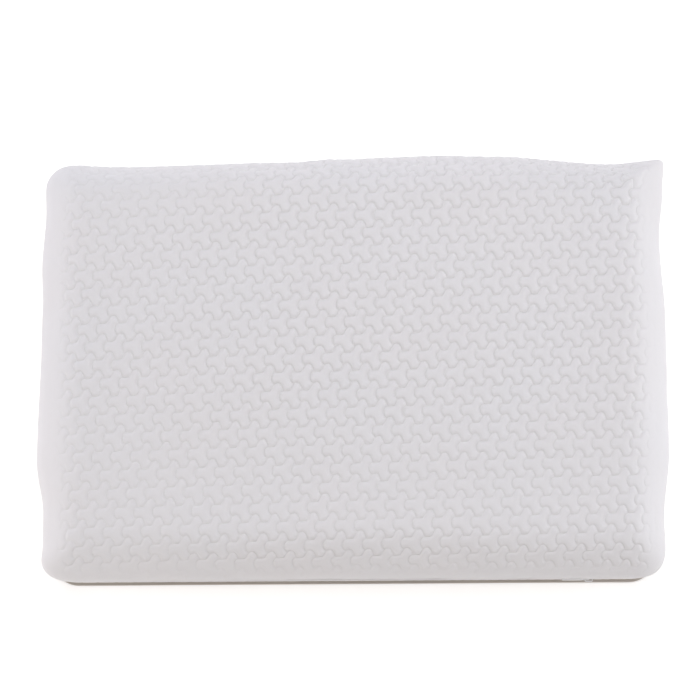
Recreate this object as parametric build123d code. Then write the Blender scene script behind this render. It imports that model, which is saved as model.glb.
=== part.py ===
"""Foam bed pillow in a zip-off quilted cover, lying flat: one STEP file per separate piece, in millimetres.

Frame: +X along the length, +Y across the width, away from the zip, +Z up through the thickness.
The origin is the centre of the flat back face that the pillow rests on.

A loaf-shaped foam core lies in a thin sewn liner. The quilted cover is two trays of fabric, front and back,
that are sewn together round the middle of the sides and closed by a coil zip along the -Y side. Layers are
given by two offsets from the core: "side" round the sides, and "face" over the top and under the bottom.
"""

from build123d import *

import os


# Foam core
CORE_LENGTH = 598.0
CORE_WIDTH = 404.0
CORE_HEIGHT = 115.0
CORE_CORNER_R = 44.0
CORE_EDGE_R = 40.0
CROWN_R = 6000.0
VENT_R = 3.0
VENT_PITCH = 36.0
VENT_COLUMNS = 15
VENT_ROWS = 9

# Layers, as (side, face) offsets from the core
GAP = 0.3
LINER_THICK = 0.8
COVER_THICK = 3.3
LINER_INSIDE = (GAP, GAP)
LINER_OUTSIDE = (GAP + LINER_THICK, GAP + LINER_THICK)
ZIP_ROOM = 2.6
COVER_INSIDE = (LINER_OUTSIDE[0] + ZIP_ROOM, LINER_OUTSIDE[1] + GAP)
COVER_OUTSIDE = (COVER_INSIDE[0] + COVER_THICK, COVER_INSIDE[1] + COVER_THICK)

CORE_BASE = COVER_OUTSIDE[1]
CORE_TOP = CORE_BASE + CORE_HEIGHT
SEAM_Z = 60.0

# Seams
PANEL_GAP = 1.0
SEAM_SIDE = (1.5, 3.3)
SEAM_HALF = 5.0
LINER_SEAM_RISE = -13.0
LINER_SEAM_HALF = 2.0

# Zip: heights are counted from SEAM_Z, and depths outwards from the core's -Y side
ZIP_LENGTH = 480.0
ZIP_SLOT_HALF = 4.8
ZIP_SLOT_LENGTH = 500.0
ZIP_SLOT_START = 1.0
SEAM_CUT = (10.0, 20.0)
TAPE_DEPTH = (2.8, 3.4)
TAPE_EDGES = (0.8, 10.8)
COIL_DEPTH = (3.4, 5.4)
COIL_EDGES = (0.8, 3.0)
STOP_LENGTH = 3.0
STOP_DEPTH = (2.4, 5.8)
STOP_EDGES = (0.2, 3.6)
COIL_EDGE_R = 0.7

# Zip slider and pull
SLIDER_LENGTH = 14.0
SLIDER_HALF = 4.3
SLIDER_BACK = (1.5, 2.4)
SLIDER_FRONT = (6.1, 7.1)
SLIDER_FLANGE = (3.5, 3.8)
SLIDER_CORNER_R = 2.0
DIVIDER = (5.0, 0.5)
DIVIDER_SET_BACK = 1.0
FLANGE_SET_BACK = 2.0
SLIDER_END_GAP = 1.0
BRIDGE_LENGTH = 8.0
BRIDGE_HALF = 1.0
BRIDGE_RISE = 3.2
BRIDGE_BAR = 0.9
BRIDGE_SHOULDER_R = 1.6
PULL_PIN_PLAY = 0.25
PULL_PIN_R = 0.65
PULL_ARM = (1.3, 2.3)
PULL_ARM_LENGTH = 6.0
PULL_LENGTH = 26.0
PULL_HALF = 3.6
PULL_THICK = 1.3
PULL_CORNER_R = 2.0
PULL_HOLE_R = 1.6
PULL_HOLE_INSET = 4.5

# Care label, in the seam at the rounded corner between the +X and -Y sides
LABEL_WIDTH = 24.0
LABEL_DROP = 36.0
LABEL_THICK = 0.5
LABEL_BEND_R = 1.6
LABEL_TURN = -30.0
LABEL_STAND_OFF = 0.8


def loaf(side, face):
    """The core's shape grown by side round its walls, and by face over its top and under its bottom."""
    outline = RectangleRounded(CORE_LENGTH + 2 * side, CORE_WIDTH + 2 * side, CORE_CORNER_R + side)
    block = extrude(Pos(0, 0, CORE_BASE - face) * outline, CORE_HEIGHT + 2 * face)
    crown = Pos(0, 0, CORE_TOP - CROWN_R) * Sphere(CROWN_R + face)
    body = block & crown
    rims = [e for e in body.edges() if abs(e.tangent_at(0.5).Z) < 0.5]
    return fillet(rims, CORE_EDGE_R + face).solids()[0]


def slab(low, high):
    """A block wider than the pillow that fills the heights from low to high."""
    return Pos(0, 0, low) * Box(
        2 * CORE_LENGTH, 2 * CORE_WIDTH, high - low, align=(Align.CENTER, Align.CENTER, Align.MIN)
    )


def zip_block(x_low, x_high, depths, heights):
    """A block in the zip's own terms: along the zip, outwards from the core, and up from the seam."""
    return Pos(x_low, -CORE_WIDTH / 2 - depths[0], SEAM_Z + heights[0]) * Box(
        x_high - x_low, depths[1] - depths[0], heights[1] - heights[0], align=(Align.MIN, Align.MAX, Align.MIN)
    )


def make_core():
    """The foam core, with its grid of vent holes from face to face."""
    middle = Pos(0, 0, CORE_BASE + CORE_HEIGHT / 2)
    places = GridLocations(VENT_PITCH, VENT_PITCH, VENT_COLUMNS, VENT_ROWS)
    vents = [middle * place * Cylinder(VENT_R, 2 * CORE_HEIGHT) for place in places]
    return loaf(0, 0) - vents


def make_shells(inside, outside, split, gap):
    """The front and back trays of a fabric layer that is parted at the height called split."""
    shell = loaf(*outside) - loaf(*inside)
    front = shell & slab(split + gap / 2, 2 * CORE_TOP)
    back = shell & slab(-CORE_TOP, split - gap / 2)
    return front, back


def make_zip_slot():
    """The opening that the cover's two edges leave for the zip."""
    half = ZIP_SLOT_LENGTH / 2
    depths = (ZIP_SLOT_START, COVER_OUTSIDE[0] + ZIP_SLOT_START)
    return zip_block(-half, half, depths, (-ZIP_SLOT_HALF, ZIP_SLOT_HALF))


def make_ring(height, half):
    """A flat strip that follows the side walls, between the liner and the cover."""
    ring = []
    for side in SEAM_SIDE:
        outline = RectangleRounded(CORE_LENGTH + 2 * side, CORE_WIDTH + 2 * side, CORE_CORNER_R + side)
        ring.append(extrude(Pos(0, 0, height - half) * outline, 2 * half))
    return ring[1] - ring[0]


def make_cover_seam():
    """The overlocked seam allowance, which stops at the two ends of the zip."""
    half = ZIP_SLOT_LENGTH / 2
    depth, rise = SEAM_CUT
    return make_ring(SEAM_Z, SEAM_HALF) - zip_block(-half, half, (0, depth), (-rise, rise))


def make_tape(up):
    """One of the zip's two woven tapes."""
    half = ZIP_SLOT_LENGTH / 2 - GAP
    return zip_block(-half, half, TAPE_DEPTH, sorted(up * edge for edge in TAPE_EDGES))


def make_coil(up):
    """One of the zip's two rows of teeth, as the round-edged bar that they fill."""
    half = ZIP_LENGTH / 2 - STOP_LENGTH - GAP
    bar = zip_block(-half, half, COIL_DEPTH, sorted(up * edge for edge in COIL_EDGES))
    outer = [e for e in bar.edges().filter_by(Axis.X) if e.center().Y < -CORE_WIDTH / 2 - COIL_DEPTH[0] - 1]
    return fillet(outer, COIL_EDGE_R)


def make_stops():
    """The pair of clamps that stops the slider where the zip is closed, and the one where it is open."""
    half = ZIP_LENGTH / 2
    tapes = make_tape(1) + make_tape(-1)
    top = [
        zip_block(half - STOP_LENGTH, half, STOP_DEPTH, sorted(up * edge for edge in STOP_EDGES)) - tapes
        for up in (1, -1)
    ]
    outer = STOP_EDGES[1]
    bottom = zip_block(-half, -half + STOP_LENGTH, STOP_DEPTH, (-outer, outer)) - tapes
    return Compound(children=[s for piece in top for s in piece.solids()]), bottom


def slider_x():
    """The slider's ends when the zip is closed."""
    front = ZIP_LENGTH / 2 - STOP_LENGTH - SLIDER_END_GAP
    return front - SLIDER_LENGTH, front


def pull_axis():
    """Where the pull turns: along the zip and outwards from the core."""
    low, high = slider_x()
    return (low + high) / 2, SLIDER_FRONT[1] + PULL_PIN_R + PULL_PIN_PLAY


def make_slider():
    """Back and front plates, joined by the divider at the nose, with flanges and the bridge for the pull."""
    low, high = slider_x()
    wide = (-SLIDER_HALF, SLIDER_HALF)
    plates = zip_block(low, high, SLIDER_BACK, wide) + zip_block(low, high, SLIDER_FRONT, wide)
    plates = fillet(plates.edges().filter_by(Axis.Y), SLIDER_CORNER_R)
    length, half = DIVIDER
    through = (SLIDER_BACK[0], SLIDER_FRONT[1])
    body = plates + zip_block(high - length, high - DIVIDER_SET_BACK, through, (-half, half))
    inner, depth = SLIDER_FLANGE
    for up in (1, -1):
        heights = sorted((up * inner, up * SLIDER_HALF))
        body += zip_block(low + FLANGE_SET_BACK, high - FLANGE_SET_BACK, (depth, SLIDER_FRONT[1]), heights)
    middle = (low + high) / 2
    top = SLIDER_FRONT[1] + BRIDGE_RISE
    arch = zip_block(
        middle - BRIDGE_LENGTH / 2, middle + BRIDGE_LENGTH / 2, (SLIDER_FRONT[0], top), (-BRIDGE_HALF, BRIDGE_HALF)
    )
    shoulders = [e for e in arch.edges().filter_by(Axis.Z) if e.center().Y < -CORE_WIDTH / 2 - top + 0.1]
    arch = fillet(shoulders, BRIDGE_SHOULDER_R)
    reach = BRIDGE_LENGTH / 2 - BRIDGE_BAR
    window = zip_block(
        middle - reach, middle + reach, (SLIDER_FRONT[1], top - BRIDGE_BAR), (-2 * BRIDGE_HALF, 2 * BRIDGE_HALF)
    )
    return body + (arch - window)


def make_pull():
    """The pull tab: a cross pin under the bridge, an arm each side of it, and a tab with a hole."""
    x, depth = pull_axis()
    inner, outer = PULL_ARM
    pin = Pos(x, -CORE_WIDTH / 2 - depth, SEAM_Z) * Cylinder(PULL_PIN_R, 2 * outer)
    depths = (depth - PULL_PIN_R, depth - PULL_PIN_R + PULL_THICK)
    tab = zip_block(x - PULL_LENGTH, x - PULL_ARM_LENGTH, depths, (-PULL_HALF, PULL_HALF))
    tab = fillet(tab.edges().filter_by(Axis.Y), PULL_CORNER_R)
    hole = Pos(x - PULL_LENGTH + PULL_HOLE_INSET, -CORE_WIDTH / 2 - depth, SEAM_Z) * Rot(90, 0, 0)
    tab -= hole * Cylinder(PULL_HOLE_R, 4 * PULL_THICK)
    pull = pin + tab
    for up in (1, -1):
        pull += zip_block(x - PULL_ARM_LENGTH - 1, x, depths, sorted((up * inner, up * outer)))
    return pull


def make_label():
    """The care label: out through the seam at the corner, and down against the cover."""
    start = CORE_CORNER_R + SEAM_SIDE[1]
    out = CORE_CORNER_R + COVER_OUTSIDE[0] + LABEL_STAND_OFF
    path = FilletPolyline((start, 0, 0), (out, 0, 0), (out, 0, -LABEL_DROP), radius=LABEL_BEND_R)
    section = Plane(origin=(start, 0, 0), x_dir=(0, 1, 0), z_dir=(1, 0, 0)) * Rectangle(LABEL_WIDTH, LABEL_THICK)
    corner = Pos(CORE_LENGTH / 2 - CORE_CORNER_R, CORE_CORNER_R - CORE_WIDTH / 2, SEAM_Z)
    return corner * Rot(0, 0, LABEL_TURN) * sweep(section, path)


def main():
    """Makes every piece and writes it to its own file."""
    os.makedirs("parts", exist_ok=True)
    cover_front, cover_back = make_shells(COVER_INSIDE, COVER_OUTSIDE, SEAM_Z, PANEL_GAP)
    liner_front, liner_back = make_shells(LINER_INSIDE, LINER_OUTSIDE, SEAM_Z + LINER_SEAM_RISE, GAP)
    top_stops, bottom_stop = make_stops()
    slot = make_zip_slot()
    pieces = {
        "foam_core": make_core(),
        "liner_front_panel": liner_front,
        "liner_back_panel": liner_back,
        "liner_seam": make_ring(SEAM_Z + LINER_SEAM_RISE, LINER_SEAM_HALF),
        "cover_front_panel": cover_front - slot,
        "cover_back_panel": cover_back - slot,
        "cover_seam": make_cover_seam(),
        "zip_tape_upper": make_tape(1),
        "zip_tape_lower": make_tape(-1),
        "zip_coil_upper": make_coil(1),
        "zip_coil_lower": make_coil(-1),
        "zip_top_stops": top_stops,
        "zip_bottom_stop": bottom_stop,
        "zip_slider": make_slider(),
        "zip_pull": make_pull(),
        "care_label": make_label(),
    }
    for name, piece in pieces.items():
        export_step(piece, f"parts/{name}.step")


main()
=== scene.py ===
"""Looks for the bed pillow: its quilted knit cover, zip, label and finishes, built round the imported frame.

The cloth is made flat, as one quilted sheet, and each half of the cover is that sheet turned down over
the core. A flat place is (along, across, lift): along the pillow, across it, and out from the cloth's own
surface.
Sizes are in metres.
"""

import math

import bmesh
import bpy
import numpy as np
from bpy.props import FloatProperty, FloatVectorProperty, PointerProperty
from mathutils import Matrix, Vector
from mathutils.bvhtree import BVHTree
from mathutils.geometry import interpolate_bezier, intersect_point_line


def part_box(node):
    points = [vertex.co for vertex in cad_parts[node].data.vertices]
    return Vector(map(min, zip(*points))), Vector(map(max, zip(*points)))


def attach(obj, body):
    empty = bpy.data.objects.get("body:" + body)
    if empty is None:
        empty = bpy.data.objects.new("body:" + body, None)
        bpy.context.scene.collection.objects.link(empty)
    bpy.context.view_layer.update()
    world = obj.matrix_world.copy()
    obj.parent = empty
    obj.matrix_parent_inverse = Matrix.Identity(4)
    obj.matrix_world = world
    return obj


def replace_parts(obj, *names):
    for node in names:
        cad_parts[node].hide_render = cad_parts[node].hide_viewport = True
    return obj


bl_info = {
    "name": "Quilted Bed Pillow",
    "version": (1, 0, 0),
    "blender": (4, 5, 0),
    "location": "3D View > Sidebar > Pillow",
    "description": "Makes the quilted cover, zip, label and studio of a foam bed pillow",
    "category": "Object",
}

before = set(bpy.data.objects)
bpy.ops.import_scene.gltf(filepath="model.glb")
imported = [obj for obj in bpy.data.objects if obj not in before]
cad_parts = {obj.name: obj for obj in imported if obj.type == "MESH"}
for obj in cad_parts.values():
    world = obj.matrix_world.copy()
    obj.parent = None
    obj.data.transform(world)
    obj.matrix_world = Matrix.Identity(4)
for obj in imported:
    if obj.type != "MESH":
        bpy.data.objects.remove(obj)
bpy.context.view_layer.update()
FRONT_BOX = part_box("cover_front_panel")
BACK_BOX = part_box("cover_back_panel")
COIL_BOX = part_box("zip_coil_upper")
TAPE_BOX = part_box("zip_tape_upper")
LABEL_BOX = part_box("care_label")

HALF_LENGTH = FRONT_BOX[1].x
HALF_WIDTH = FRONT_BOX[1].y
TOP = FRONT_BOX[1].z
SEAM = (FRONT_BOX[0].z + BACK_BOX[1].z) / 2
CROWN_R = 6.0
THICKNESS = 0.0033
RIM_R = 0.0447
QUARTER = RIM_R * math.pi / 2
SPINE = np.array([HALF_LENGTH - RIM_R, HALF_WIDTH - RIM_R])
WALL = FRONT_BOX[0].z - (BACK_BOX[0].z + RIM_R) + 0.0045
REACH = QUARTER + WALL
HEM = 0.009
ZIP_HALF = TAPE_BOX[1].x
ZIP_LIP = 0.0043
TINY = 1e-9


# ---------------------------------------------------------------- settings


class PillowCoverSettings(bpy.types.PropertyGroup):
    """Sizes and colours of the quilted cover."""

    pitch: FloatProperty(
        name="Tile pitch",
        description="Distance from one quilted tile to the next",
        default=0.0186,
        unit="LENGTH",
    )
    relief: FloatProperty(
        name="Relief", description="How far a tile stands above its groove", default=0.0019, unit="LENGTH"
    )
    turn: FloatProperty(
        name="Cloth turn",
        description="How far the quilting is off square",
        default=math.radians(-0.3),
        subtype="ANGLE",
    )
    colour: FloatVectorProperty(
        name="Knit",
        description="Colour of the knit",
        subtype="COLOR",
        default=(0.86, 0.85, 0.865),
        min=0,
        max=1,
    )
    # Painted shade: the groove colour darkens the cloth down in the grooves, where the relief shades it; the
    # nap also uses it as a random darker tone.
    groove: FloatVectorProperty(
        name="Groove",
        description="Colour in the grooves",
        subtype="COLOR",
        default=(0.82, 0.805, 0.815),
        min=0,
        max=1,
    )


class PillowZipSettings(bpy.types.PropertyGroup):
    """Sizes of the zip's teeth and of its sewing."""

    tooth_pitch: FloatProperty(
        name="Tooth pitch",
        description="Distance from one coil loop to the next",
        default=0.0017,
        unit="LENGTH",
    )
    stitch: FloatProperty(name="Stitch", description="Length of a topstitch", default=0.0026, unit="LENGTH")
    stitch_gap: FloatProperty(
        name="Gap", description="Gap between topstitches", default=0.0009, unit="LENGTH"
    )


class PillowStudioSettings(bpy.types.PropertyGroup):
    """The camera, and how strong each light is."""

    elevation: FloatProperty(
        name="Elevation",
        description="Camera height above the horizon",
        default=math.radians(80),
        subtype="ANGLE",
    )
    distance: FloatProperty(name="Distance", description="Camera distance", default=2.6, unit="LENGTH")
    lamps: FloatProperty(name="Lamps", description="Share of the lamps' own power", default=1.0, min=0)
    sky: FloatProperty(name="Sky", description="Strength of the room light", default=0.03, min=0)
    floor: FloatProperty(name="Floor glow", description="Light given off by the floor", default=0.46, min=0)


# ---------------------------------------------------------------- cloth shape


def ease(value, start, end):
    """0 before start, 1 after end, and smooth between them."""
    share = np.clip((value - start) / (end - start), 0, 1)
    return share * share * (3 - 2 * share)


# How far each wall is drawn in, in millimetres, against the share of its half length from the middle
LEFT_PULL = (
    (-1, 1), (-0.94, 1), (-0.83, 6), (-0.7, 6), (-0.45, -1), (0.3, 2.5), (0.47, 1.5), (0.75, 5), (1, 2)
)
RIGHT_PULL = ((-1, 3), (-0.75, 6), (-0.4, -1), (0.2, -1), (0.6, 3), (0.85, -1.5), (1, -5))
FAR_PULL = ((-1, 6), (-0.75, 10), (-0.2, 6.5), (-0.05, 3), (0.3, 0.5), (0.45, 1.5), (0.85, 10.5), (1, 4))


def between(share, knots):
    """A value that goes smoothly from knot to knot."""
    made = np.full_like(share, knots[0][1])
    for (start, low), (end, high) in zip(knots, knots[1:]):
        made += (high - low) * ease(share, start, end)
    return made


# The settled cloth: points of its field, how far off each looks for the bag, and how far the bag may move it
FIELD = (160, 120)
LOOK = 0.03
START_INSIDE = 0.0015
MOVE_CAP = 0.006
SETTLE_SHARE = 0.3


class Tray:
    """Half of the cover: it turns flat cloth into places on the pillow."""

    def __init__(self, face, seam, side, bulge):
        self.face, self.seam, self.side, self.bulge = face, seam, side, bulge
        self.wall = abs(face - seam) - RIM_R
        self.field = None

    def skin(self, flat):
        """Places on the outer skin for an (n, 2) array of flat places."""
        held = np.clip(flat, -SPINE, SPINE)
        away = flat - held
        reach = np.linalg.norm(away, axis=1)
        heading = away / np.maximum(reach, TINY)[:, None]
        right, far = flat[:, 0] * self.side > 0, flat[:, 1] > 0
        square = np.where(far, np.where(right, 16.0, 3.2), 3.4)
        corner = (np.abs(heading) ** square[:, None]).sum(1) + (reach < TINY)
        point = corner ** (-1 / square)
        turn = np.clip(reach / RIM_R, 0, math.pi / 2)
        down = np.maximum(reach - QUARTER, 0) * self.wall / WALL
        on_zip = ease(-flat[:, 1], 0, HALF_WIDTH) * ease(ZIP_HALF + 0.004 - np.abs(flat[:, 0]), 0, 0.008)
        down -= ZIP_LIP * on_zip * ease(reach, REACH - 0.03, REACH)
        place = held + heading * (RIM_R * np.sin(turn) * point)[:, None]
        height = RIM_R * (1 - np.cos(turn)) + down
        steep = np.sin(turn) ** 2
        x, y = place[:, 0] * self.side, place[:, 1]
        swell = np.clip((reach - QUARTER / 2) / (REACH - QUARTER / 2), 0, 1)
        # The wall is flat beside the zip, so that the pull can lie on it past either end
        flat_by_zip = 1 - ease(-flat[:, 1], 0, HALF_WIDTH / 2) * ease(reach, REACH - 0.014, REACH - 0.005)
        place = place + heading * (self.bulge * np.sin(math.pi * swell) * flat_by_zip)[:, None]
        place = place - self.pull(x, y, heading) * steep[:, None]
        share = np.clip(1 - height / abs(self.face - self.seam), 0, 1)
        crown = (place ** 2).sum(1) / (2 * CROWN_R) * share * (self.side > 0)
        z = self.face - self.side * (height + crown)
        return np.stack([place[:, 0] * self.side, place[:, 1], z], axis=1)

    def pull(self, x, y, heading):
        """How far the walls are drawn in, from how the cloth sits on each side."""
        along, across = x / HALF_LENGTH, y / HALF_WIDTH
        ends = np.where(x > 0, between(across, RIGHT_PULL), between(across, LEFT_PULL))
        sides = np.where(y > 0, between(along, FAR_PULL), 0)
        share = ease(np.abs(heading), 0.2, 0.7) * np.sign(heading)
        return np.stack([ends, sides], axis=1) * share / 1000

    def place(self, flat):
        """Places for an (n, 3) array of (along, across, lift)."""
        step = 0.0004
        skin = self.skin(flat[:, :2])
        along = self.skin(flat[:, :2] + [step, 0]) - self.skin(flat[:, :2] - [step, 0])
        across = self.skin(flat[:, :2] + [0, step]) - self.skin(flat[:, :2] - [0, step])
        normal = np.cross(along, across)
        normal /= np.maximum(np.linalg.norm(normal, axis=1), TINY * TINY)[:, None]
        return skin + normal * (flat[:, 2] + self.settled(flat[:, :2]))[:, None]

    def settled(self, flat):
        """How far out of the smooth skin the settled cloth lies, read between the points of the field."""
        if self.field is None:
            return 0
        last = np.array(FIELD) - 1
        at = np.clip((flat / (SPINE + REACH) + 1) / 2 * last, 0, last - TINY)
        x, y = at.astype(int).T
        along, across = (at - at.astype(int)).T
        near = self.field[y, x] * (1 - along) + self.field[y, x + 1] * along
        far = self.field[y + 1, x] * (1 - along) + self.field[y + 1, x + 1] * along
        return near * (1 - across) + far * across

    def settle(self, tree):
        """Reads the field from a settled bag: each point looks in at the bag from outside."""
        along, across = (np.linspace(-size, size, count) for size, count in zip(SPINE + REACH, FIELD))
        flat = np.stack([grid.ravel() for grid in np.meshgrid(along, across)], axis=1)
        held = np.clip(flat, -SPINE, SPINE)
        reach = np.linalg.norm(flat - held, axis=1)
        flat = held + (flat - held) * np.minimum(1, REACH / np.maximum(reach, TINY))[:, None]
        level = np.zeros((len(flat), 1))
        base = self.place(np.hstack([flat, level]))
        out = (self.place(np.hstack([flat, level + 0.001])) - base) / 0.001
        gaps = []
        for start, heading in zip(base + out * LOOK, -out):
            gap = tree.ray_cast(Vector(start), Vector(heading), 2 * LOOK)[3]
            gaps.append(0 if gap is None else LOOK - gap + START_INSIDE)
        held_down = ease(REACH - reach, 0.002, 0.016)
        field = np.clip(gaps, -MOVE_CAP, MOVE_CAP) * held_down * SETTLE_SHARE
        field = field.reshape(FIELD[1], FIELD[0])
        for _ in range(6):
            wide = np.pad(field, 1, mode="edge")
            field = (wide[:-2, 1:-1] + wide[2:, 1:-1] + wide[1:-1, :-2] + wide[1:-1, 2:] + 4 * field) / 8
        self.field = field


FRONT = Tray(TOP, FRONT_BOX[0].z, 1, 0.003)
BACK = Tray(BACK_BOX[0].z, BACK_BOX[1].z, -1, 0.0)


# ---------------------------------------------------------------- quilted sheet

# A tile's outline, as shares of the pitch: two corners, and the two handles of each kind of edge
STEP_ALONG = Vector((1.0, 0.025))
STEP_DOWN = Vector((0.41, -0.93))
CORNER_LEFT = Vector((-0.43, 0.27))
CORNER_TOP = Vector((0.12, 0.63))
NOTCH_HANDLES = (Vector((0.05, 0.27)), Vector((-0.1, 0.26)))
LOBE_HANDLES = (Vector((0.33, 0.77)), Vector((0.48, 0.7)))
ARM_HANDLES = (Vector((0.28, 0.24)), Vector((0.28, -0.24)))
EDGE_STEPS = 6
CORNER_CUTS = 12
INSETS = (0.0004, 0.0008, 0.0011)
DOME_REACH = 0.0038


def tile_outline():
    """The tile's outline, clockwise from its left corner. Opposite edges are the same curve, a step apart."""
    right = CORNER_LEFT + STEP_ALONG
    low = CORNER_TOP + STEP_DOWN
    notch = (CORNER_LEFT, *NOTCH_HANDLES, CORNER_TOP)
    lobe = (CORNER_TOP, *LOBE_HANDLES, right)
    arm = (right, *ARM_HANDLES, low)
    points = []
    for curve, shift, back in (
        (notch, Vector((0, 0)), False),
        (lobe, Vector((0, 0)), False),
        (arm, Vector((0, 0)), False),
        (notch, STEP_DOWN, True),
        (lobe, STEP_DOWN - STEP_ALONG, True),
        (arm, -STEP_ALONG, True),
    ):
        line = interpolate_bezier(*[(p + shift).to_3d() for p in curve], EDGE_STEPS + 1)
        points += list(reversed(line))[:-1] if back else line[:-1]
    return points


def tile_mesh(pitch):
    """One puffed tile: z is 0 in the groove and 1 on the crown."""
    bm = bmesh.new()
    outline = tile_outline()
    bmesh.ops.create_circle(bm, cap_ends=True, radius=pitch, segments=len(outline))
    bm.verts.ensure_lookup_table()
    for vert, point in zip(bm.verts, reversed(outline)):
        vert.co = point * pitch
    face = bm.faces[:][0]
    face.normal_update()
    if face.normal.z < 0:
        face.normal_flip()
    rim = [vert.co.copy() for vert in face.verts]
    for depth in INSETS:
        bmesh.ops.inset_individual(bm, faces=[face], thickness=depth, use_even_offset=True)
    inner = bmesh.ops.triangulate(bm, faces=[face], ngon_method="BEAUTY")["edges"]
    bmesh.ops.subdivide_edges(bm, edges=inner, cuts=1, use_grid_fill=True)
    bmesh.ops.triangulate(bm, faces=[f for f in bm.faces if len(f.verts) > 4])
    for vert in bm.verts:
        vert.co.z = dome(vert.co, rim)
    return bm


def dome(place, rim):
    """Height of a tile, steep at its rim and domed inside it."""
    gaps = []
    for start, end in zip(rim, rim[1:] + rim[:1]):
        share = intersect_point_line(place, start, end)[1]
        gaps.append((start.lerp(end, max(0, min(1, share))) - place).length)
    share = min(1, min(gaps) / DOME_REACH)
    return 1 - (1 - share) ** 2.2


def repeat(bm, shifts):
    """Copies all that the bmesh holds to each shift."""
    geometry = bm.verts[:] + bm.edges[:] + bm.faces[:]
    for shift in shifts:
        made = bmesh.ops.duplicate(bm, geom=geometry)["geom"]
        verts = [v for v in made if isinstance(v, bmesh.types.BMVert)]
        bmesh.ops.translate(bm, verts=verts, vec=shift.to_3d())


def stretched(x, y):
    """The knit is stretched most across the middle of the pillow, and towards the zip edge."""
    return x - 0.07 * x ** 3, 1.02 * y - 0.08 * y ** 2


def quilted_sheet(cover):
    """A flat sheet of tiles, larger than the panel."""
    bm = tile_mesh(cover.pitch)
    size = SPINE + REACH + 2 * cover.pitch
    count = int(size[0] / cover.pitch)
    rows = int(size[1] / (cover.pitch * abs(STEP_DOWN.y)))
    repeat(bm, [STEP_ALONG * (i * cover.pitch) for i in range(-count, count + 1) if i])
    shifts = []
    for row in range(-rows, rows + 1):
        back = round(row * STEP_DOWN.x)
        if row:
            shifts.append((STEP_DOWN * row - STEP_ALONG * back) * cover.pitch)
    repeat(bm, shifts)
    low = [v for v in bm.verts if v.co.z < TINY]
    bmesh.ops.remove_doubles(bm, verts=low, dist=cover.pitch / 200)
    for vert in bm.verts:
        vert.co.x, vert.co.y = stretched(vert.co.x, vert.co.y)
    bmesh.ops.rotate(bm, verts=bm.verts, matrix=Matrix.Rotation(cover.turn, 3, "Z"))
    return bm


def trim(bm, geometry, point, normal):
    """Cuts away what lies beyond a plane, and returns what is left of the geometry."""
    cut = bmesh.ops.bisect_plane(
        bm, geom=geometry, dist=1e-6, plane_co=point, plane_no=normal, clear_outer=True
    )
    return [part for part in cut["geom"] if part.is_valid]


def trim_to_panel(bm, hem):
    """Cuts the sheet to the panel's flat outline, short of its hem."""
    reach = REACH - hem
    for axis in (0, 1):
        for side in (-1, 1):
            normal = Vector((0, 0, 0))
            normal[axis] = side
            trim(bm, bm.verts[:] + bm.edges[:] + bm.faces[:], normal * (SPINE[axis] + reach), normal)
    for right in (-1, 1):
        for far in (-1, 1):
            centre = Vector((right * SPINE[0], far * SPINE[1], 0))
            faces = [f for f in bm.faces if in_corner(f.verts[0].co, centre, right, far)]
            parts = list({v for f in faces for v in f.verts} | {e for f in faces for e in f.edges}) + faces
            for cut in range(CORNER_CUTS):
                angle = math.pi / 2 * (cut + 0.5) / CORNER_CUTS
                normal = Vector((right * math.cos(angle), far * math.sin(angle), 0))
                parts = trim(bm, parts, centre + normal * reach, normal)


def in_corner(place, centre, right, far):
    """Whether a place is out beyond the corner of the spine, with a tile to spare."""
    spare = 0.02
    return (place.x - centre.x) * right > -spare and (place.y - centre.y) * far > -spare


def by_hem(flat):
    """0 at the hem and beyond it, and 1 a little inside it."""
    reach = np.linalg.norm(flat - np.clip(flat, -SPINE, SPINE), axis=1)
    return ease(REACH - reach, HEM, HEM + 0.004)


def relief_share(flat):
    """How much of the relief is left: the cloth is drawn smooth round the ends and along the zip edge."""
    along, across = np.abs(flat[:, 0]), flat[:, 1]
    taut = 1 - 0.26 * ease(-across, 0.0, 0.14) - 0.2 * ease(-flat[:, 0], 0.05, 0.24)
    ends = 1 - 0.95 * ease(along, SPINE[0] + 0.010, SPINE[0] + 0.030)
    near = 1 - 0.85 * ease(-across, SPINE[1] + 0.034, SPINE[1] + 0.050)
    far = 1 - 0.7 * ease(across, SPINE[1] + 0.058, SPINE[1] + 0.072)
    soft = 1 - 0.5 * ease(across, SPINE[1] - 0.04, SPINE[1] + 0.02) * ease(-flat[:, 0], 0.0, 0.2)
    return taut * soft * ends * near * far * by_hem(flat)


# The hem and the inside of the cloth, as (distance from the outline, lift) rings
HEM_RINGS = (
    (0.0068, 0.0), (0.0058, -0.0002), (0.0050, -0.0007), (0.0042, -0.0002), (0.0028, 0.0), (0.0016, -0.0002),
    (0.0008, -0.0006), (0.0002, -0.0012), (0.0, -0.0018), (0.0002, -0.0024), (0.0008, -0.0029),
)
LINING_RINGS = (0.004, 0.012, 0.022, 0.034, 0.046, 0.058, 0.070, 0.082)
LINING_SCALES = (0.8, 0.6, 0.4, 0.2)


def outer_ring(bm, edges):
    """Grows one more ring from a boundary, and returns its new edges and vertices."""
    made = bmesh.ops.extrude_edge_only(bm, edges=edges)["geom"]
    new = [e for e in made if isinstance(e, bmesh.types.BMEdge) and e.is_boundary]
    return new, {v for e in new for v in e.verts}


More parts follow.
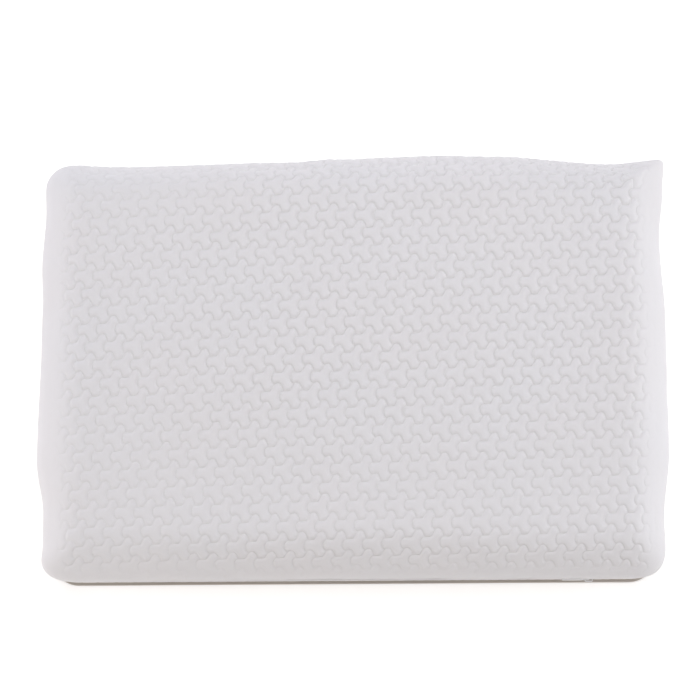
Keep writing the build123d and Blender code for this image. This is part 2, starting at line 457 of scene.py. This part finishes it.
def close_sheet(bm):
    """Turns the sheet's edge into a rounded hem, and closes the sheet with its lining side."""
    edges = [e for e in bm.edges if e.is_boundary]
    rings = [*HEM_RINGS, *((gap, -THICKNESS) for gap in LINING_RINGS)]
    for gap, lift in rings:
        edges, verts = outer_ring(bm, edges)
        for vert in verts:
            held = Vector((*np.clip(vert.co[:2], -SPINE, SPINE), 0))
            away = Vector((vert.co.x, vert.co.y, 0)) - held
            vert.co = held + away.normalized() * (REACH - gap) + Vector((0, 0, lift))
    for scale in LINING_SCALES:
        edges, verts = outer_ring(bm, edges)
        for vert in verts:
            factor = scale / (scale + 0.2)
            vert.co = Vector((vert.co.x * factor, vert.co.y * factor, -THICKNESS))
    bmesh.ops.contextual_create(bm, geom=edges)
    bmesh.ops.recalc_face_normals(bm, faces=bm.faces)


def flat_panel(cover):
    """The whole panel as flat cloth, with how puffed each point is kept in an attribute: the mask for the
    painted shade in the grooves.
    """
    bm = quilted_sheet(cover)
    trim_to_panel(bm, HEM)
    layer = bm.verts.layers.float.new("puff")
    mesh = bpy.data.meshes.new("flat_panel")
    flat = np.array([v.co for v in bm.verts])
    share = relief_share(flat[:, :2])
    for vert, puff in zip(bm.verts, share * (flat[:, 2] - 1) + 1):
        vert[layer] = puff
    lift = cover.relief * (share * (flat[:, 2] - 1) - 0.3 * (1 - share))
    lift *= by_hem(flat[:, :2])
    for vert, height in zip(bm.verts, lift):
        vert.co.z = height
    close_sheet(bm)
    bm.to_mesh(mesh)
    bm.free()
    return mesh


def new_piece(name, mesh, material, body="pillow"):
    """A finished mesh as a piece that rides on its body."""
    piece = bpy.data.objects.new(name, mesh)
    bpy.context.scene.collection.objects.link(piece)
    mesh.materials.clear()
    mesh.materials.append(material)
    mesh.shade_smooth()
    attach(piece, body)
    return piece


def places_of(mesh):
    """A mesh's vertex places as an (n, 3) array."""
    flat = np.zeros(len(mesh.vertices) * 3)
    mesh.vertices.foreach_get("co", flat)
    return flat.reshape(-1, 3)


def lay_on(tray, mesh):
    """Moves a flat mesh onto the pillow, and keeps its flat places in an attribute for the knit."""
    flat = places_of(mesh)
    kept = mesh.attributes.new("cloth", "FLOAT_VECTOR", "POINT")
    kept.data.foreach_set("vector", flat.astype(np.float32).ravel())
    mesh.vertices.foreach_set("co", tray.place(flat).astype(np.float32).ravel())
    mesh.update()
    return mesh


# ---------------------------------------------------------------- settled cloth


def coarse_half(tray, cell):
    """One half of the cover as a coarse sheet, a little inside the smooth skin."""
    bm = bmesh.new()
    size = SPINE + REACH
    counts = (2 * size / cell).astype(int)
    bmesh.ops.create_grid(bm, x_segments=int(counts[0]), y_segments=int(counts[1]), size=1)
    bmesh.ops.scale(bm, verts=bm.verts, vec=(*size, 1))
    trim_to_panel(bm, 0)
    mesh = bpy.data.meshes.new("half")
    bm.to_mesh(mesh)
    bm.free()
    flat = places_of(mesh)
    flat[:, 2] = -START_INSIDE
    mesh.vertices.foreach_set("co", tray.place(flat).astype(np.float32).ravel())
    return mesh


def coarse_bag(cell):
    """Both halves closed into one bag of even cells."""
    bm = bmesh.new()
    for tray in (FRONT, BACK):
        half = coarse_half(tray, cell)
        bm.from_mesh(half)
        bpy.data.meshes.remove(half)
    mesh = bpy.data.meshes.new("bag")
    bm.to_mesh(mesh)
    bm.free()
    bag = bpy.data.objects.new("bag", mesh)
    bpy.context.scene.collection.objects.link(bag)
    remesh = bag.modifiers.new("cells", "REMESH")
    remesh.mode = "VOXEL"
    remesh.voxel_size = cell
    bag.data = evaluated(bag)
    bag.modifiers.clear()
    return bag


def surface_tree(mesh):
    """A mesh's surface, for rays."""
    return BVHTree.FromPolygons([v.co for v in mesh.vertices], [tuple(f.vertices) for f in mesh.polygons])


def evaluated(piece):
    """The piece's mesh with its modifiers applied."""
    return bpy.data.meshes.new_from_object(piece.evaluated_get(bpy.context.evaluated_depsgraph_get()))


def settle_cover(cell=0.008, frames=14):
    """Lets slack knit settle over the soft core, which holds each point lightly where it was."""
    bag = coarse_bag(cell)
    hold = bag.vertex_groups.new(name="hold")
    height = places_of(bag.data)[:, 2]
    fixed = (height < BACK_BOX[0].z + 0.03) | (np.abs(height - SEAM) < 0.006)
    hold.add(np.nonzero(fixed)[0].tolist(), 1.0, "REPLACE")
    hold.add(np.nonzero(~fixed)[0].tolist(), 0.1, "REPLACE")
    cloth = bag.modifiers.new("cloth", "CLOTH")
    knit = cloth.settings
    knit.vertex_group_mass = hold.name
    knit.effector_weights.gravity = 0
    knit.shrink_min = -0.005
    knit.quality = 5
    knit.tension_stiffness = knit.compression_stiffness = 25
    knit.bending_stiffness = 10
    knit.mass = 0.4
    cloth.point_cache.frame_start, cloth.point_cache.frame_end = 1, frames
    for number in range(1, frames + 1):
        bpy.context.scene.frame_set(number)
    settled = evaluated(bag)
    tree = surface_tree(settled)
    meshes = (bag.data, settled)
    bpy.data.objects.remove(bag)
    for mesh in meshes:
        bpy.data.meshes.remove(mesh)
    bpy.context.scene.frame_set(1)
    FRONT.settle(tree)


# ---------------------------------------------------------------- finishes


class Wire:
    """A node's output, so that sums on it read as sums."""

    def __init__(self, finish, socket):
        self.finish, self.socket = finish, socket

    def maths(self, operation, *others):
        return self.finish.node("ShaderNodeMath", {"operation": operation}, dict(enumerate(others)))

    def __add__(self, other):
        return self.maths("ADD", self, other)

    def __radd__(self, other):
        return self.maths("ADD", other, self)

    def __sub__(self, other):
        return self.maths("SUBTRACT", self, other)

    def __rsub__(self, other):
        return self.maths("SUBTRACT", other, self)

    def __mul__(self, other):
        return self.maths("MULTIPLY", self, other)

    def __rmul__(self, other):
        return self.maths("MULTIPLY", other, self)

    def __pow__(self, other):
        return self.maths("POWER", self, other)


class Finish:
    """One material, and the wiring of its nodes."""

    def __init__(self, name):
        self.material = bpy.data.materials.new(name)
        self.material.use_nodes = True
        self.tree = self.material.node_tree
        self.shader = self.tree.nodes["Principled BSDF"]

    def set(self, sockets, values):
        """Sets sockets by name or number to values or wires."""
        for key, value in values.items():
            socket = sockets[key]
            if isinstance(value, Wire):
                self.tree.links.new(value.socket, socket)
            else:
                socket.default_value = value

    def node(self, kind, settings=None, values=None, output=0):
        """A node of that kind with its settings made and its sockets filled, as the wire that leaves it."""
        made = self.tree.nodes.new(kind)
        for key, value in (settings or {}).items():
            if key == "stops":
                self.set_stops(made.color_ramp.elements, value)
            else:
                setattr(made, key, value)
        self.set(made.inputs, values or {})
        return Wire(self, made.outputs[output])

    def set_stops(self, elements, stops):
        while len(elements) < len(stops):
            elements.new(1.0)
        for element, (position, colour) in zip(elements, stops):
            element.position = position
            element.color = colour

    def surface(self, **values):
        """Fills the surface shader's sockets, which are named with _ for a space."""
        self.set(self.shader.inputs, {key.replace("_", " "): value for key, value in values.items()})
        return self.material

    def object_place(self):
        return self.node("ShaderNodeTexCoord", output="Object")

    def attribute(self, name, output="Vector"):
        return self.node("ShaderNodeAttribute", {"attribute_name": name}, output=output)

    def noise(self, place, scale, detail=2.0):
        return self.node(
            "ShaderNodeTexNoise", None, {"Vector": place, "Scale": scale, "Detail": detail}, output="Fac"
        )

    def mix(self, share, first, second):
        """A colour that goes from the first to the second."""
        return self.node("ShaderNodeMix", {"data_type": "RGBA"}, {0: share, 6: first, 7: second}, output=2)

    def bump(self, height, distance, strength=1.0):
        values = {"Height": height, "Distance": distance, "Strength": strength}
        return self.node("ShaderNodeBump", None, values)


def rgba(colour):
    return (*colour, 1.0)


def knit_finish(name, colour, groove, loop=0.0011, has_cloth=True):
    """Jersey knit: rows of small loops, a soft nap, and painted shade that makes the cloth a little darker
    down in its grooves.
    """
    finish = Finish(name)
    place = finish.attribute("cloth") if has_cloth else finish.object_place()
    along = finish.node("ShaderNodeSeparateXYZ", None, {0: place}, output="X")
    across = Wire(finish, along.socket.node.outputs["Y"])
    turns = 2 * math.pi / loop
    rib = (along * turns).maths("SINE", along * turns)
    loops = (across * (turns * 1.35)).maths("SINE", across * (turns * 1.35) + rib * 0.9)
    nap = finish.noise(place, 900.0, 3.0)
    height = rib * 0.35 + loops * 0.35 + nap * 0.8
    cloud = finish.noise(place, 9.0, 2.0)
    warm = (colour[0] * 1.0, colour[1] * 0.985, colour[2] * 0.985)
    cool = (colour[0] * 0.985, colour[1] * 0.995, colour[2] * 1.01)
    tint = finish.mix(cloud, rgba(warm), rgba(cool))
    if has_cloth:
        # Painted shade: the colour goes to the groove colour where the mask is low, down in the grooves
        # between the tiles.
        puff = finish.attribute("puff", "Fac")
        tint = finish.mix(puff ** 0.7, rgba(groove), tint)
    tint = finish.mix(nap * 0.05, tint, rgba(groove))
    return finish.surface(
        Base_Color=tint,
        Roughness=0.82 + nap * 0.12,
        Specular_IOR_Level=0.25,
        Sheen_Weight=0.25,
        Sheen_Roughness=0.45,
        Normal=finish.bump(height, 0.00012, 0.6),
    )


def foam_finish():
    """Open latex foam: fine cells of uneven size."""
    finish = Finish("latex_foam")
    place = finish.object_place()
    cells = finish.node("ShaderNodeTexVoronoi", None, {"Vector": place, "Scale": 700.0}, output="Distance")
    cloud = finish.noise(place, 25.0)
    return finish.surface(
        Base_Color=finish.mix(cloud, (0.87, 0.82, 0.68, 1), (0.83, 0.77, 0.62, 1)),
        Roughness=0.9 - cloud * 0.1,
        Normal=finish.bump(cells, 0.0004, 0.7),
    )


def tape_finish():
    """Woven zip tape: a fine herringbone."""
    finish = Finish("zip_tape")
    place = finish.object_place()
    x = finish.node("ShaderNodeSeparateXYZ", None, {0: place}, output="X")
    z = Wire(finish, x.socket.node.outputs["Z"])
    slant = (z * 9000.0).maths("PINGPONG", z * 1000.0, 1.2)
    twill = x.maths("SINE", x * 7800.0 + slant * 5.0)
    fuzz = finish.noise(place, 2500.0)
    return finish.surface(
        Base_Color=finish.mix(twill * 0.2 + 0.3, (0.86, 0.86, 0.87, 1), (0.72, 0.72, 0.74, 1)),
        Roughness=0.75 + fuzz * 0.15,
        Normal=finish.bump(twill + fuzz, 0.00012, 0.8),
    )


def coil_finish():
    """Nylon coil: smooth, a little clear, with faint draw lines."""
    finish = Finish("zip_coil")
    place = finish.object_place()
    streak = finish.noise(place, 1500.0)
    return finish.surface(
        Base_Color=finish.mix(streak, (0.9, 0.9, 0.91, 1), (0.84, 0.84, 0.85, 1)),
        Roughness=0.32 + streak * 0.12,
        Normal=finish.bump(streak, 0.00003, 0.5),
    )


def enamel_finish():
    """White enamel on cast metal, worn a little at its edges."""
    finish = Finish("zip_metal")
    place = finish.object_place()
    orange_peel = finish.noise(place, 1800.0)
    scuff = finish.noise(place, 320.0, 4.0)
    worn = scuff.maths("GREATER_THAN", scuff, 0.68)
    return finish.surface(
        Base_Color=finish.mix(worn, (0.84, 0.84, 0.85, 1), (0.66, 0.66, 0.67, 1)),
        Roughness=0.28 + scuff * 0.2,
        Metallic=worn * 0.6,
        Coat_Weight=0.3,
        Coat_Roughness=0.2,
        Normal=finish.bump(orange_peel, 0.00003, 0.5),
    )


def thread_finish():
    """Twisted sewing thread."""
    finish = Finish("thread")
    place = finish.object_place()
    x = finish.node("ShaderNodeSeparateXYZ", None, {0: place}, output="X")
    z = Wire(finish, x.socket.node.outputs["Z"])
    twist = x.maths("SINE", x * 14000.0 + z * 9000.0)
    return finish.surface(
        Base_Color=finish.mix(twist * 0.3 + 0.3, (0.9, 0.9, 0.91, 1), (0.76, 0.76, 0.78, 1)),
        Roughness=0.6 + twist * 0.05,
        Sheen_Weight=0.2,
        Normal=finish.bump(twist, 0.00008, 0.8),
    )


def satin_finish():
    """Blank satin ribbon: fine lengthwise threads."""
    finish = Finish("label_satin")
    place = finish.object_place()
    z = finish.node("ShaderNodeSeparateXYZ", None, {0: place}, output="Z")
    lines = z.maths("SINE", z * 16000.0)
    cloud = finish.noise(place, 150.0)
    return finish.surface(
        Base_Color=finish.mix(cloud, (0.80, 0.79, 0.84, 1), (0.72, 0.71, 0.77, 1)),
        Roughness=0.42 + lines * 0.05,
        Sheen_Weight=0.15,
        Normal=finish.bump(lines + cloud, 0.00005, 0.6),
    )


# ---------------------------------------------------------------- operators


class PILLOW_OT_cover(bpy.types.Operator):
    """Makes the two quilted halves of the cover."""

    bl_idname = "bed_pillow.cover"
    bl_label = "Quilted cover"

    def execute(self, context):
        cover = context.scene.pillow_cover
        settle_cover()
        knit = knit_finish("quilted_knit", cover.colour, cover.groove)
        flat = flat_panel(cover)
        for name, node, tray in (
            ("cover_front", "cover_front_panel", FRONT),
            ("cover_back", "cover_back_panel", BACK),
        ):
            piece = new_piece(name, lay_on(tray, flat.copy()), knit)
            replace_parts(piece, node)
        bpy.data.meshes.remove(flat)
        return {"FINISHED"}


def stitch_mesh(length, radius):
    """One topstitch along x: a short thread that dips at both ends."""
    bm = bmesh.new()
    bmesh.ops.create_uvsphere(bm, u_segments=6, v_segments=6, radius=radius)
    bmesh.ops.rotate(bm, verts=bm.verts, matrix=Matrix.Rotation(math.pi / 2, 3, "Y"))
    for vert in bm.verts:
        vert.co.x += math.copysign(length / 2 - radius, vert.co.x) if abs(vert.co.x) > TINY else 0
        vert.co.z -= radius * 1.2 * (2 * vert.co.x / length) ** 4
    return bm


class PILLOW_OT_topstitch(bpy.types.Operator):
    """Sews a row of topstitches beside the zip on each half of the cover."""

    bl_idname = "bed_pillow.topstitch"
    bl_label = "Topstitching"

    def execute(self, context):
        zip_set = context.scene.pillow_zip
        thread = thread_finish()
        step = zip_set.stitch + zip_set.stitch_gap
        count = int(ZIP_HALF / step)
        for name, tray in (("zip_topstitch_front", FRONT), ("zip_topstitch_back", BACK)):
            bm = stitch_mesh(zip_set.stitch, 0.00032)
            bmesh.ops.translate(bm, verts=bm.verts, vec=(0, -(SPINE[1] + REACH - 0.005), -0.0003))
            repeat(bm, [Vector((i * step, 0)) for i in range(-count, count + 1) if i])
            mesh = bpy.data.meshes.new(name)
            bm.to_mesh(mesh)
            bm.free()
            new_piece(name, lay_on(tray, mesh), thread)
        return {"FINISHED"}


def coil_loop(wire, leg, bend):
    """One loop of the coil: two legs along z that meet in a bend at the bottom."""
    bm = bmesh.new()
    made = bmesh.ops.create_circle(bm, segments=6, radius=wire)
    bmesh.ops.translate(bm, verts=made["verts"], vec=(0, bend, 0))
    edges = bm.edges[:]
    spun = bmesh.ops.spin(
        bm,
        geom=edges,
        cent=(0, 0, 0),
        axis=(1, 0, 0),
        dvec=(0, 0, 0),
        angle=-math.pi,
        steps=4,
        use_merge=False,
    )
    ends = [edges, [e for e in spun["geom_last"] if isinstance(e, bmesh.types.BMEdge)]]
    for loop in ends:
        made = bmesh.ops.extrude_edge_only(bm, edges=loop)["geom"]
        verts = [v for v in made if isinstance(v, bmesh.types.BMVert)]
        bmesh.ops.translate(bm, verts=verts, vec=(0, 0, leg))
        rim = [e for e in made if isinstance(e, bmesh.types.BMEdge) and e.is_boundary]
        bmesh.ops.contextual_create(bm, geom=rim)
    bmesh.ops.recalc_face_normals(bm, faces=bm.faces)
    return bm


class PILLOW_OT_zip(bpy.types.Operator):
    """Makes the two rows of coil teeth, and finishes the zip's own parts."""

    bl_idname = "bed_pillow.zip"
    bl_label = "Zip"

    def execute(self, context):
        pitch = context.scene.pillow_zip.tooth_pitch
        coil = coil_finish()
        low, high = COIL_BOX
        wire, bend = 0.00040, 0.00055
        middle = (low.y + high.y) / 2
        overlap = 0.0003
        leg = high.z - SEAM - wire - bend + overlap
        count = int((high.x - low.x) / pitch)
        for name, node, side in (
            ("zip_teeth_upper", "zip_coil_upper", 1),
            ("zip_teeth_lower", "zip_coil_lower", -1),
        ):
            bm = coil_loop(wire, leg, bend)
            start = low.x + pitch * (0.5 if side > 0 else 1.0)
            bmesh.ops.translate(bm, verts=bm.verts, vec=(0, 0, wire + bend - overlap))
            bmesh.ops.rotate(bm, verts=bm.verts, matrix=Matrix.Rotation(0 if side > 0 else math.pi, 3, "Y"))
            bmesh.ops.translate(bm, verts=bm.verts, vec=(start, middle, SEAM))
            repeat(bm, [Vector((i * pitch, 0)) for i in range(1, count)])
            mesh = bpy.data.meshes.new(name)
            bm.to_mesh(mesh)
            bm.free()
            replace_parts(new_piece(name, mesh, coil), node)
        tape = tape_finish()
        enamel = enamel_finish()
        for node in ("zip_tape_upper", "zip_tape_lower"):
            finish_node(node, tape)
        for node in ("zip_top_stops", "zip_bottom_stop", "zip_slider", "zip_pull"):
            finish_node(node, enamel)
        return {"FINISHED"}


def finish_node(node, material):
    """Gives a CAD node its finish."""
    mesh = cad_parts[node].data
    mesh.materials.clear()
    mesh.materials.append(material)


LONG_EDGE = 0.016
LONG_EDGE_CUTS = 6


def in_wall(place):
    """Whether a place is out beyond the spine, where the walls turn down."""
    return abs(place.x) > SPINE[0] or abs(place.y) > SPINE[1]


def drawn_in(node):
    """A copy of a soft CAD node whose walls are drawn in as the cover's are."""
    bm = bmesh.new()
    bm.from_mesh(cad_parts[node].data)
    bmesh.ops.remove_doubles(bm, verts=bm.verts, dist=1e-5)
    for _ in range(LONG_EDGE_CUTS):
        edges = [e for e in bm.edges if e.calc_length() > LONG_EDGE and any(in_wall(v.co) for v in e.verts)]
        bmesh.ops.subdivide_edges(bm, edges=edges, cuts=1)
        bmesh.ops.triangulate(bm, faces=[f for f in bm.faces if len(f.verts) > 3])
    places = np.array([v.co for v in bm.verts])
    x, y = places[:, 0], places[:, 1]
    away = places[:, :2] - np.clip(places[:, :2], -SPINE, SPINE)
    reach = np.linalg.norm(away, axis=1)
    steep = np.clip(reach / (RIM_R - THICKNESS), 0, 1) ** 2
    move = FRONT.pull(x, y, away / np.maximum(reach, TINY)[:, None]) * steep[:, None]
    for vert, (along, across) in zip(bm.verts, move):
        vert.co -= Vector((along, across, 0))
    mesh = bpy.data.meshes.new(node)
    bm.to_mesh(mesh)
    bm.free()
    return mesh


class PILLOW_OT_insides(bpy.types.Operator):
    """Makes the foam core, its liner and the hidden seams, drawn in with the cover."""

    bl_idname = "bed_pillow.insides"
    bl_label = "Core and liner"

    def execute(self, context):
        cover = context.scene.pillow_cover
        liner = knit_finish("liner_knit", (0.88, 0.87, 0.84), (0.8, 0.79, 0.76), has_cloth=False)
        seam = knit_finish("seam_knit", cover.colour, cover.groove, has_cloth=False)
        for name, node, finish, slot in (
            ("core", "foam_core", foam_finish(), "latex_foam"),
            ("liner_front", "liner_front_panel", liner, "liner_knit"),
            ("liner_back", "liner_back_panel", liner, "liner_knit"),
            ("liner_seam_tape", "liner_seam", liner, "liner_knit"),
            ("cover_seam_tape", "cover_seam", seam, "quilted_knit"),
        ):
            piece = new_piece(name, drawn_in(node), finish)
            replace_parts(piece, node)
        return {"FINISHED"}


LABEL_HEADING = Vector((math.cos(math.radians(30)), -math.sin(math.radians(30)), 0))
LABEL_SIDE = Vector((-LABEL_HEADING.y, LABEL_HEADING.x, 0))
LABEL_CURL = 0.0032
LABEL_BEND = 0.0016
LABEL_LEAD = 0.009
LABEL_TWIST = 0.0014
LABEL_WAVE = 0.0006


def cover_reach(trees, side, low, high):
    """How far out the cover comes behind the ribbon, at one place across its width."""
    reach, outside, heights = 0, 0.6, 12
    for number in range(heights):
        height = low + (high - low) * number / (heights - 1)
        start = LABEL_HEADING * outside + LABEL_SIDE * side + Vector((0, 0, height))
        for tree in trees:
            gap = tree.ray_cast(start, -LABEL_HEADING)[3]
            if gap is not None:
                reach = max(reach, outside - gap)
    return reach


def label_path(along, reach, top, drop):
    """A point of the ribbon's middle line: out from the seam, over a bend, and down, curling out a little."""
    bend, lead = LABEL_BEND, LABEL_LEAD
    arc = bend * math.pi / 2
    if along < lead:
        return reach - bend - lead + along, top
    if along < lead + arc:
        turn = (along - lead) / bend
        return reach - bend + bend * math.sin(turn), top - bend + bend * math.cos(turn)
    down = along - lead - arc
    return reach + LABEL_CURL * (down / drop) ** 2, top - bend - down


class PILLOW_OT_label(bpy.types.Operator):
    """Makes the blank care label: a satin ribbon that hangs out of the seam and curls away from the cover."""

    bl_idname = "bed_pillow.label"
    bl_label = "Care label"

    def execute(self, context):
        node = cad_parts["care_label"]
        places = [node.matrix_world @ vert.co for vert in node.data.vertices]
        thick, clear = 0.0004, 0.0006
        sides = [place.dot(LABEL_SIDE) for place in places]
        low, high = LABEL_BOX[0].z, LABEL_BOX[1].z
        width, middle = max(sides) - min(sides), (max(sides) + min(sides)) / 2
        drop = high - low - LABEL_BEND
        length = LABEL_LEAD + LABEL_BEND * math.pi / 2 + drop
        trees = [surface_tree(bpy.data.objects[name].data) for name in ("cover_front", "cover_back")]
        bm = bmesh.new()
        bmesh.ops.create_grid(bm, x_segments=10, y_segments=30, size=1)
        for vert in bm.verts:
            side, along = vert.co.x, (1 - vert.co.y) / 2 * length
            reach = cover_reach(trees, middle + side * width / 2, low, high) + clear + thick
            out, height = label_path(along, reach, high - thick, drop)
            down = max(0, (along - LABEL_LEAD - LABEL_BEND) / drop)
            out += (LABEL_TWIST * side + LABEL_WAVE * math.cos(2.4 * side)) * down ** 1.5
            vert.co = LABEL_HEADING * out + LABEL_SIDE * (middle + side * width / 2) + Vector((0, 0, height))
        bmesh.ops.solidify(bm, geom=bm.faces[:], thickness=thick)
        bmesh.ops.recalc_face_normals(bm, faces=bm.faces)
        mesh = bpy.data.meshes.new("care_ribbon")
        bm.to_mesh(mesh)
        bm.free()
        ribbon = new_piece("care_ribbon", mesh, satin_finish())
        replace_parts(ribbon, "care_label")
        return {"FINISHED"}


WHITE = (1.0, 1.0, 1.0)
COOL = (0.93, 0.92, 1.0)
WARM = (1.0, 0.93, 0.88)

# Each lamp's name, place, size, power and colour
LAMPS = (
    ("light_top", (0.0, 0.3, 1.8), (1.6, 1.6), 20.0, WHITE),
    ("light_back", (0.0, 1.2, 0.6), (1.6, 0.9), 4.5, COOL),
    ("light_front", (0.0, -1.3, 0.95), (1.6, 1.4), 5.0, WARM),
    ("light_left_low", (-1.0, 0.2, 0.22), (1.2, 0.4), 2.0, COOL),
    ("light_left_front", (-1.0, -0.5, 0.3), (0.8, 0.6), 2.0, WARM),
    ("light_right_low", (1.1, -0.1, 0.22), (1.2, 0.3), 3.0, WHITE),
    ("light_right_high", (1.2, 0.0, 0.95), (1.4, 1.4), 3.0, COOL),
)


class PILLOW_OT_studio(bpy.types.Operator):
    """Makes the floor, the lights and the camera."""

    bl_idname = "bed_pillow.studio"
    bl_label = "Studio"

    def execute(self, context):
        studio = context.scene.pillow_studio
        make_floor(studio.floor)
        centre = Vector((0, 0, TOP / 2))
        for lamp in LAMPS:
            make_light(*lamp, centre, studio.lamps)
        make_sky(studio.sky)
        make_camera(studio)
        return {"FINISHED"}


def make_floor(glow):
    """A pale floor that glows a little. Where the pillow stands it is painted darker and gives off no light:
    a painted contact shadow, which shows as a dark line under the near edge.
    """
    bm = bmesh.new()
    bmesh.ops.create_grid(bm, x_segments=1, y_segments=1, size=6.0)
    mesh = bpy.data.meshes.new("floor")
    bm.to_mesh(mesh)
    bm.free()
    finish = Finish("floor")
    place = finish.object_place()
    x = finish.node("ShaderNodeSeparateXYZ", None, {0: place}, output="X")
    y = Wire(finish, x.socket.node.outputs["Y"])
    # The painted contact shadow is a patch the size of the pillow's footprint, a little inset, and moved a
    # little towards the near side.
    corner, shadow_edge_sharpness, shadow_shift_near = 0.027, 600.0, 0.0015
    shadow_inset_along, shadow_inset_across = 0.0048, 0.0033
    dx = x.maths("ABSOLUTE", x) - (HALF_LENGTH - shadow_inset_along - corner)
    dy = y.maths("ABSOLUTE", y + shadow_shift_near) - (HALF_WIDTH - shadow_inset_across - corner)
    far = (dx.maths("MAXIMUM", dx, 0.0) ** 2.0 + dy.maths("MAXIMUM", dy, 0.0) ** 2.0) ** 0.5
    clear = far.maths("MULTIPLY_ADD", far, shadow_edge_sharpness, -shadow_edge_sharpness * corner)
    share = clear.maths("MINIMUM", clear.maths("MAXIMUM", clear, 0.0), 1.0)
    # Painted shadow: inside the patch the floor is brown-grey and gives off no light; outside it the floor is
    # pale and glows evenly.
    finish.surface(
        Base_Color=finish.mix(share, (0.55, 0.5, 0.45, 1), (0.9, 0.9, 0.9, 1)),
        Roughness=0.8,
        Specular_IOR_Level=0.1,
        Emission_Color=finish.mix(share, (0, 0, 0, 1), (1.0, 0.98, 0.95, 1)),
        Emission_Strength=glow,
    )
    floor = bpy.data.objects.new("floor", mesh)
    mesh.materials.append(finish.material)
    bpy.context.scene.collection.objects.link(floor)


def make_light(name, place, size, power, colour, target, share):
    light = bpy.data.lights.new(name, "AREA")
    light.shape = "RECTANGLE"
    light.size, light.size_y = size
    light.energy = power * share
    light.color = colour
    lamp = bpy.data.objects.new(name, light)
    lamp.location = place
    lamp.rotation_euler = (target - lamp.location).to_track_quat("-Z", "Y").to_euler()
    bpy.context.scene.collection.objects.link(lamp)


def make_sky(strength):
    world = bpy.data.worlds.new("studio")
    world.use_nodes = True
    sky = world.node_tree.nodes["Background"]
    sky.inputs["Color"].default_value = (1, 1, 1, 1)
    sky.inputs["Strength"].default_value = strength
    bpy.context.scene.world = world


def make_camera(studio):
    scene = bpy.context.scene
    data = bpy.data.cameras.new("camera")
    data.sensor_width = 36.0
    data.lens = 135.0
    data.clip_end = 20.0
    camera = bpy.data.objects.new("camera", data)
    target = Vector((-0.0025, 0.0185, TOP / 2))
    back = Vector((0, -math.cos(studio.elevation), math.sin(studio.elevation)))
    camera.location = target + back * studio.distance
    aim = (-back).to_track_quat("-Z", "Y")
    roll = Matrix.Rotation(math.radians(-0.38), 3, back)
    camera.rotation_euler = (roll @ aim.to_matrix()).to_euler()
    scene.collection.objects.link(camera)
    scene.camera = camera
    scene.view_settings.view_transform = "Standard"


class PILLOW_PT_panel(bpy.types.Panel):
    """Lists the pillow's settings and makers."""

    bl_label = "Pillow"
    bl_space_type = "VIEW_3D"
    bl_region_type = "UI"
    bl_category = "Pillow"

    def draw(self, context):
        for settings in (context.scene.pillow_cover, context.scene.pillow_zip, context.scene.pillow_studio):
            box = self.layout.box()
            for key in settings.__annotations__:
                box.prop(settings, key)
        for maker in MAKERS:
            self.layout.operator(maker.bl_idname)


SETTINGS = {
    "pillow_cover": PillowCoverSettings,
    "pillow_zip": PillowZipSettings,
    "pillow_studio": PillowStudioSettings,
}
MAKERS = (
    PILLOW_OT_studio,
    PILLOW_OT_cover,
    PILLOW_OT_topstitch,
    PILLOW_OT_zip,
    PILLOW_OT_label,
    PILLOW_OT_insides,
)


def register():
    for kind in (*SETTINGS.values(), *MAKERS, PILLOW_PT_panel):
        bpy.utils.register_class(kind)
    for name, kind in SETTINGS.items():
        setattr(bpy.types.Scene, name, PointerProperty(type=kind))


def unregister():
    for name in SETTINGS:
        delattr(bpy.types.Scene, name)
    for kind in reversed((*SETTINGS.values(), *MAKERS, PILLOW_PT_panel)):
        bpy.utils.unregister_class(kind)


def main():
    register()
    bpy.ops.bed_pillow.studio()
    bpy.ops.bed_pillow.cover()
    bpy.ops.bed_pillow.topstitch()
    bpy.ops.bed_pillow.zip()
    bpy.ops.bed_pillow.label()
    bpy.ops.bed_pillow.insides()


if __name__ == "__main__":
    main()
